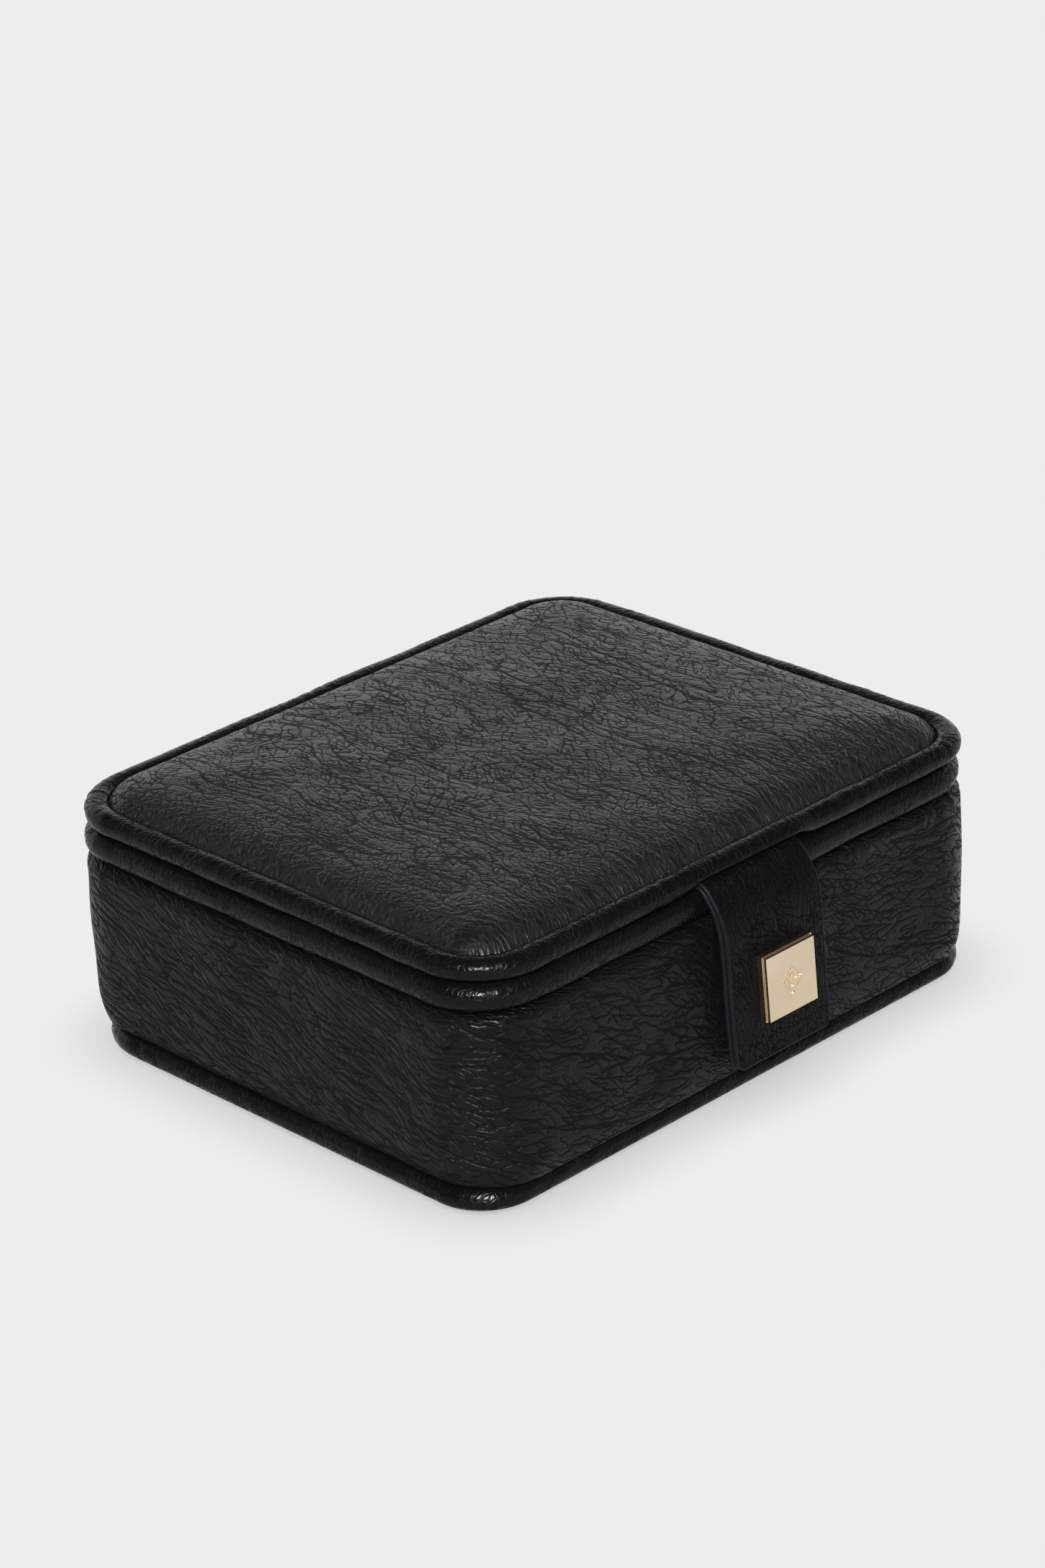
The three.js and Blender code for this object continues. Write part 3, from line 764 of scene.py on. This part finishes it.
# the underside stays flat, the edge is uneven
co = np.array([v.co for v in me.vertices]) / MM
side = smooth(inside(co[:, 0], co[:, 1], BOT["a"], BOT["b"], BOT["r"]), 3.0, 0.8) * smooth(co[:, 2], 0.4, 1.4)
nrm = np.array([v.normal for v in me.vertices])
ang = np.arctan2(co[:, 1], co[:, 0]) * 70
k = 0.07 * waves(11, 8, 26, 24, period=140 * PI)(ang, co[:, 2]) + 0.04 * waves(12, 2, 5, 30, period=140 * PI)(ang, co[:, 2])
co += nrm * (k * side)[:, None]
me.vertices.foreach_set("co", (co * MM).reshape(-1))
me.update()
done(o, "base", "leather", "bottom_cover")

o = cushion(
    "bottom_panel", 61.6, 49.3, 4.5, 0.9, lambda X, Y, D: np.full_like(X, 1.15), [LEATHER_FLAT], 100, 80,
    bottom=lambda X, Y, D: 0.16 + 0.35 * (1 - np.minimum(D / 0.8, 1)) ** 2 + 0.03 * waves(5, 8, 25)(X, Y),
)
done(o, "base", "leather")

# ------------------------------------------------------------------ base: walls
prof = (
    [(2.6, 5.0), (1.5, 4.95)]
    + [(1.25, 5.2), (0.95, 6.0), (0.6, 7.2), (0.3, 8.8), (0.1, 10.8), (0.0, 13.0), (-0.08, 24.0), (-0.02, 36.0), (0.0, 40.4)]
    + corner(2.5, 40.5, -2.5, 2.6, 0, 90, 10, 2.15)
    + [(3.9, 43.1)]
    + corner(4.2, 41.9, 1.2, 1.2, 90, 0, 6)
    + [(5.4, 36.0), (5.4, 33.4), (5.1, 33.05), (4.7, 33.0), (4.45, 33.2), (4.4, 41.3), (1.5, 41.3), (1.3, 39.8), (1.3, 9.0), (1.9, 6.8)]
)


def wall_skin(s, v, x, y, z, L):
    outer = smooth(inside(x, y, WALL["a"], WALL["b"], WALL["r"]), 3.4, 1.0)
    mid = smooth(z, 5.5, 9.0) * smooth(z, 42.8, 38.8)
    slow = 0.16 * waves(21, 14, 46, 30, period=L)(s, z)
    w = waves(22, 3.0, 8.0, 60, period=L, angle=-0.42, stretch=3.2)(s, z)
    crease = ridged(w, 0.16) * (0.4 + 0.6 * smooth(waves(23, 15, 45, 20, period=L)(s, z), -0.8, 1.0))
    lip = 0.05 * waves(24, 2.2, 6, 40, period=L, angle=PI / 2, stretch=2)(s, v) * smooth(z, 37, 41)
    return outer * (mid * (slow - 0.1 * crease) + lip) + (1 - outer) * 0.04 * slow


o = sweep("wall_leather", WALL, prof, [LEATHER_WALL], step=0.72, pstep=0.55, disp=wall_skin)
done(o, "base", "leather", "wall_cover")

prof = [(4.45, 7.4), (5.3, 7.4), (5.38, 7.9), (5.38, 31.9), (5.2, 32.55), (4.6, 32.6), (4.45, 32.2)]
o = sweep("wall_suede", WALL, prof, [SUEDE], step=1.1, pstep=1.1, disp=lumps(31, 0.05, 7, 24))
done(o, "base", "suede", "wall_lining")

o = cushion(
    "floor_cushion", 69.4, 58.1, 9.8, 7.25,
    lambda X, Y, D: 7.9 + 0.62 * np.sqrt(1 - (1 - np.minimum(D / 1.6, 1)) ** 2) + 0.05 * waves(33, 9, 26)(X, Y),
    [SUEDE], 110, 92,
)
done(o, "base", "suede", "floor_pad")


# ------------------------------------------------------------------ base: dividers and ring rolls
def wall_section(c, t, z0, z1):
    h = t / 2
    p = [(c - h, z0), (c + h, z0)] + [(c + h, z1 - h * 0.9)]
    p += corner(c, z1 - h * 0.9, h, h * 0.9, 8, 172, 9)
    p += [(c - h, z1 - h * 0.9)]
    return densify(p, 0.8)


def soft(seed, amp, lo=5, hi=18):
    return lambda s, v: amp * waves(seed, lo, hi, 24)(s, v)


for name, c, x0, x1, axis, seed in (
    ("divider_long", 3.0, -69.4, 69.4, "x", 41),
    ("divider_front", -12.0, -58.1, 1.6, "y", 42),
    ("divider_back", 22.0, 4.4, 58.1, "y", 43),
):
    o = loft_bar(name + "_suede", wall_section(c, 2.6, 8.72, 36.8), x0, x1, [SUEDE], axis, 0.5, 1.0, soft(seed, 0.05))
    done(o, "base", "suede", name)

y_start, y_end = 4.6, WALL["b"] - 5.7
pitch = (y_end - y_start) / 4
cav_a, cav_b, cav_r = WALL["a"] - 5.8, WALL["b"] - 5.8, WALL["r"] - 5.8
for i in range(4):
    c = y_start + pitch * (i + 0.5)
    w = 6.3
    sec = [(c - w * 0.96, 8.75), (c + w * 0.96, 8.75), (c + w, 10.5)]
    sec += corner(c, 29.0 - w, w, w, 0, 180, 22, 2.1)
    sec += [(c - w, 10.5)]
    seed = 51 + 3 * i

    def skin(s, v, seed=seed):
        long = 0.14 * waves(seed, 10, 30, 20)(s, v)
        tuck = 0.08 * waves(seed + 1, 2.5, 6, 30, angle=PI / 2, stretch=3)(s, v)
        L = 89.5
        end = smooth(np.minimum(s, L - s), 6, 0)
        return long + tuck * (0.25 + 1.4 * end)

    def trim(pos, a):
        # the rear corner of the case is round
        over = np.maximum(a - (cav_b - cav_r), 0)
        lim = -(cav_a - cav_r + np.sqrt(np.maximum(cav_r**2 - np.minimum(over, cav_r - 0.05) ** 2, 0.0)))
        x0, x1 = -69.1, 20.4
        f = (pos - x0) / (x1 - x0)
        lo = np.maximum(x0, lim + 0.1)
        return lo + f * (x1 - lo)

    o = loft_bar(f"ring_roll_suede_{i + 1}", densify(sec, 0.9), -69.1, 20.4, [SUEDE], "x", 1.6, 0.9, skin, trim)
    done(o, "base", "suede", f"ring_roll_{i + 1}")

# ------------------------------------------------------------------ lid frame, the lower roll
lift = RISE
prof = (
    [(6.4, 42.6), (3.4, 42.5)]
    + corner(3.4, 45.7, -3.4, -3.2, 90, 0, 12, 2.25)
    + corner(3.4, 45.7, -3.4, 3.2, 0, 90, 12, 2.25)[1:]
    + [(6.4, 48.9)]
)
o = sweep("lid_frame_leather", FRAME, prof, [LEATHER_ROLL], pstep=0.42, disp=roll_skin(61, 0.07, 0.05))
done(o, "lid", "leather", "lid_frame_cover")

# ------------------------------------------------------------------ lid rim, the upper roll
prof = (
    [(5.3, 49.5), (2.7, 49.25)]
    + corner(2.7, 51.75, -2.7, -2.5, 90, 0, 11, 2.15)
    + corner(2.7, 51.75, -2.7, 2.45, 0, 90, 11, 2.1)[1:]
    + [(3.4, 54.15), (4.2, 53.95), (4.85, 53.5), (5.2, 52.95), (5.3, 52.2)]
)


def over_strap(G):
    """The roll lifts and swells where it passes over the strap's root, and is notched over the hinge strip at the back."""
    x, y, z = G[:, :, 0], G[:, :, 1], G[:, :, 2]
    w = smooth(np.abs(x - 0.8), 20.0, 13.2) * (y < -50)
    low = np.clip((54.2 - z) / 5.0, 0, 1)
    z2 = z + w * (1.85 * low**1.4 + 0.1)
    out = w * 0.5 * np.sin(PI * np.clip((z - 49.2) / 5.0, 0, 1))
    b = smooth(np.abs(x), HINGE_HALF + 2.2, HINGE_HALF + 0.2) * (y > 50)
    z2 = z2 + b * 1.15 * low**1.5
    G = G.copy()
    G[:, :, 0] += 0.25
    G[:, :, 1] += 0.35 * smooth(y, 0, 60) - out
    G[:, :, 2] = z2
    return G


o = sweep("lid_rim_leather", RIM, prof, [LEATHER_ROLL], pstep=0.42, disp=roll_skin(71, 0.06, 0.075), move=over_strap)
done(o, "lid", "leather", "lid_rim_cover")

# ------------------------------------------------------------------ lid top, the padded panel
TA, TB, TR = RIM["a"] - 4.85, RIM["b"] - 4.85, tuple(q - 4.85 for q in RIM["r"])


def crown(X, Y, D):
    # the leather dips under the roll, rises steeply out of the seam and then rounds over
    D = D - 0.6
    z = 53.3 - 0.7 * smooth(D, 0.0, -0.6)
    D = np.maximum(D, 0)
    z += 2.35 * (1 - np.exp(-D / 1.7)) + 3.4 * (1 - np.exp(-D / 11.0))
    far = smooth(D, 1.5, 12)
    z += far * 0.12 * waves(81, 16, 48, 26)(X, Y)
    # long creases, roughly from front to back
    w = waves(82, 4.0, 11.0, 60, angle=math.radians(100), stretch=3.4)(X, Y)
    c = ridged(w, 0.15) * smooth(waves(83, 18, 50, 18)(X, Y), -0.6, 1.1)
    z -= smooth(D, 3, 9) * 0.1 * c
    # small gathers where the leather is pulled into the seam
    th = np.arctan2(Y / TB, X / TA)
    per = th * 66
    g = waves(84, 1.7, 4.4, 44, period=132 * PI)(per, D * 0.15)
    z += 0.07 * g * np.exp(-D / 2.2) * smooth(D, 0.0, 0.5)
    return z


o = cushion("lid_top_pad", TA, TB, TR, 52.4, crown, [LEATHER_TOP], 196, 168)
done(o, "lid", "leather", "lid_top_panel", "lid_foam")

# ------------------------------------------------------------------ inside the lid
o = cushion(
    "lid_inner_suede", FRAME["a"] - 6.85, FRAME["b"] - 6.85, FRAME["r"] - 6.85, 50.25,
    lambda X, Y, D: np.full_like(X, 50.28), [SUEDE], 110, 92,
    bottom=lambda X, Y, D: 48.95 + 0.5 * (1 - np.minimum(D / 1.0, 1)) ** 2 + 0.03 * waves(86, 9, 26)(X, Y),
)
done(o, "lid", "suede", "lid_lining")

MF = dict(a=58.0, b=47.0, r=7.0)
prof = (
    [(0.6, 48.8), (0.0, 48.2)]
    + corner(1.6, 47.4, -1.6, -1.5, 0, 90, 7, 2.2)
    + [(3.2, 45.95)]
    + corner(3.9, 46.6, 1.3, -0.65, 90, 0, 5, 2)
    + [(5.3, 46.78), (3.3, 46.8), (3.2, 48.8)]
)
o = sweep("mirror_frame_leather", MF, prof, [LEATHER_ROLL], step=0.9, pstep=0.4, disp=roll_skin(91, 0.02, 0.03))
done(o, "lid", "leather", "mirror_frame")
o = cushion(
    "mirror_plate", 54.5, 43.5, 3.7, 48.7, lambda X, Y, D: np.full_like(X, 48.68), [MIRROR], 60, 48,
    bottom=lambda X, Y, D: 46.92 + 0.0 * D,
)
done(o, "lid", "mirror", "mirror_glass")

# ------------------------------------------------------------------ hinge strip at the back
line = [(64.65, 24.2), (64.6, 30), (64.6, 36), (64.62, 40), (64.68, 42.4), (64.75, 45), (64.7, 47.6), (63.95, 49.1), (62.4, 49.8), (60.3, 49.85), (58.2, 49.8)]
o = band(
    "spine_leather", line[::-1], HINGE_HALF, 0.5, [LEATHER_ROLL], step=0.45, edge=0.45, round1=1.6, across=120,
    disp=lambda X, s, D: 0.05 * waves(101, 6, 22)(X, s) * smooth(D, 0, 3),
)
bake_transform(o)
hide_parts("hinge_leaf_base", "hinge_leaf_lid")

for name, body, z0, z1, y, seed in (
    ("gusset_base", "base", 36.4, 41.7, 57.98, 103),
    ("gusset_lid", "lid", 43.2, 47.9, 57.08, 104),
):
    zs = np.linspace(z1, z0, 7)
    o = band(
        name + "_suede", [(y, z) for z in zs], HINGE_HALF, 0.24, [SUEDE], step=0.5, edge=0.22, round0=0.8, round1=0.8,
        across=100, disp=lambda X, s, D, seed=seed: 0.02 * waves(seed, 4, 14)(X, s),
    )
    done(o, body, "suede", name)

# ------------------------------------------------------------------ strap
LINE = [
    (-57.6, 50.1), (-60.4, 50.15), (-62.7, 49.95), (-64.25, 48.85), (-65.35, 47.0), (-66.45, 45.0),
    (-67.3, 42.3), (-67.65, 39.0), (-67.46, 34.0), (-67.1, 27.0), (-66.74, 20.0), (-66.5, 13.5), (-66.4, 7.4),
]
SHEAR = (STRAP_X, STRAP_TILT, STRAP_Z)
THICK = ([0, 0.1, 0.2, 0.3, 1.0], [0.66, 0.7, 0.86, 1.0, 1.0])
for name, off, node, seed in (
    ("strap_outer_leather", 0.67, ("strap_outer", "strap_root"), 111),
    ("strap_lining_leather", -0.67, ("strap_lining",), 112),
):
    o = band(
        name, LINE, STRAP_HW, 0.65, [LEATHER_STRAP, EDGE], off=off, step=0.4, edge=0.55, round1=2.6, across=56,
        thick=THICK, shear=SHEAR, rim_mat=True,
        disp=lambda X, s, D, seed=seed: 0.05 * waves(seed, 5, 20)(X, s) * smooth(s, 6, 14) * smooth(np.abs(X - 1.4) + 0 * s, 7, 11),
    )
    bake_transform(o)
    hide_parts(*node)

# ------------------------------------------------------------------ metal and hidden pieces
for n in ("clasp_plate_base", "clasp_plate_face"):
    paint(n, GOLD)
    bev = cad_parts[n].modifiers.new("edge", "BEVEL")
    bev.width = 0.00016 if n.endswith("face") else 0.0003
    bev.segments = 3
    bev.limit_method = "ANGLE"
    bev.angle_limit = math.radians(40)
    bev.harden_normals = True
for n in ("wall_magnet", "strap_magnet"):
    paint(n, STEEL)
for n in ("bottom_board", "wall_board", "floor_board", "lid_frame_board", "lid_top_board"):
    paint(n, BOARD)

# ------------------------------------------------------------------ stage and light
scene = bpy.context.scene
scene.view_settings.view_transform = "Standard"
scene.view_settings.look = "None"
scene.view_settings.exposure = 0.0
scene.view_settings.gamma = 1.0

FLOOR = (0.8388, 0.8550, 0.8308)
m = bpy.data.materials.new("floor")
m.use_nodes = True
nt = m.node_tree
nt.nodes.clear()
t = Tree(nt)
out = t.node("ShaderNodeOutputMaterial")
emi = t.node("ShaderNodeEmission")
ao = t.node("ShaderNodeAmbientOcclusion", samples=8)
ao.inputs["Distance"].default_value = 0.016
shade = t.remap(ao.outputs["AO"], 0.0, 1.0, 0.58, 1.0, "LINEAR")
nt.links.new(t.vec("SCALE", FLOOR, scale=shade), emi.inputs["Color"])
nt.links.new(emi.outputs[0], out.inputs[0])
me = bpy.data.meshes.new("floor")
me.from_pydata([(-6, -6, 0), (6, -6, 0), (6, 6, 0), (-6, 6, 0)], [], [(0, 1, 2, 3)])
me.materials.append(m)
floor = bpy.data.objects.new("floor", me)
floor.location.z = -0.0003
scene.collection.objects.link(floor)

BACKDROP, ROOM = 1.2, 0.09
world = bpy.data.worlds.new("studio")
scene.world = world
world.use_nodes = True
nt = world.node_tree
nt.nodes.clear()
t = Tree(nt)
out = t.node("ShaderNodeOutputWorld")
bg = t.node("ShaderNodeBackground")
gen = t.node("ShaderNodeTexCoord").outputs["Generated"]
sep = t.node("ShaderNodeSeparateXYZ")
nt.links.new(gen, sep.inputs[0])
# a bright backdrop behind the case, low over the table, and a dim room elsewhere
dot = t.node("ShaderNodeVectorMath", operation="DOT_PRODUCT")
nt.links.new(gen, dot.inputs[0])
dot.inputs[1].default_value = (math.sin(math.radians(136)), -math.cos(math.radians(136)), 0.0)
behind = t.remap(dot.outputs["Value"], -0.25, 0.75, 0.0, 1.0)
low = t.remap(sep.outputs[2], 0.36, 0.66, 1.0, 0.0)
level = t.math("ADD", t.math("MULTIPLY", t.math("MULTIPLY", behind, low), BACKDROP), ROOM)
nt.links.new(level, bg.inputs["Color"])
bg.inputs["Strength"].default_value = 1.0
nt.links.new(bg.outputs[0], out.inputs[0])


def area(name, azimuth, elevation, dist, size, watts, size_y=None):
    az, el = math.radians(azimuth), math.radians(elevation)
    d = Vector((math.sin(az) * math.cos(el), -math.cos(az) * math.cos(el), math.sin(el)))
    data = bpy.data.lights.new(name, "AREA")
    data.energy = watts
    data.shape = "RECTANGLE" if size_y else "DISK"
    data.size = size
    if size_y:
        data.size_y = size_y
    ob = bpy.data.objects.new(name, data)
    ob.location = Vector((0, 0, 0.03)) + d * dist
    ob.rotation_euler = d.to_track_quat("Z", "Y").to_euler()
    scene.collection.objects.link(ob)
    return ob


area("key", -46, 31, 1.3, 0.36, 33.0)
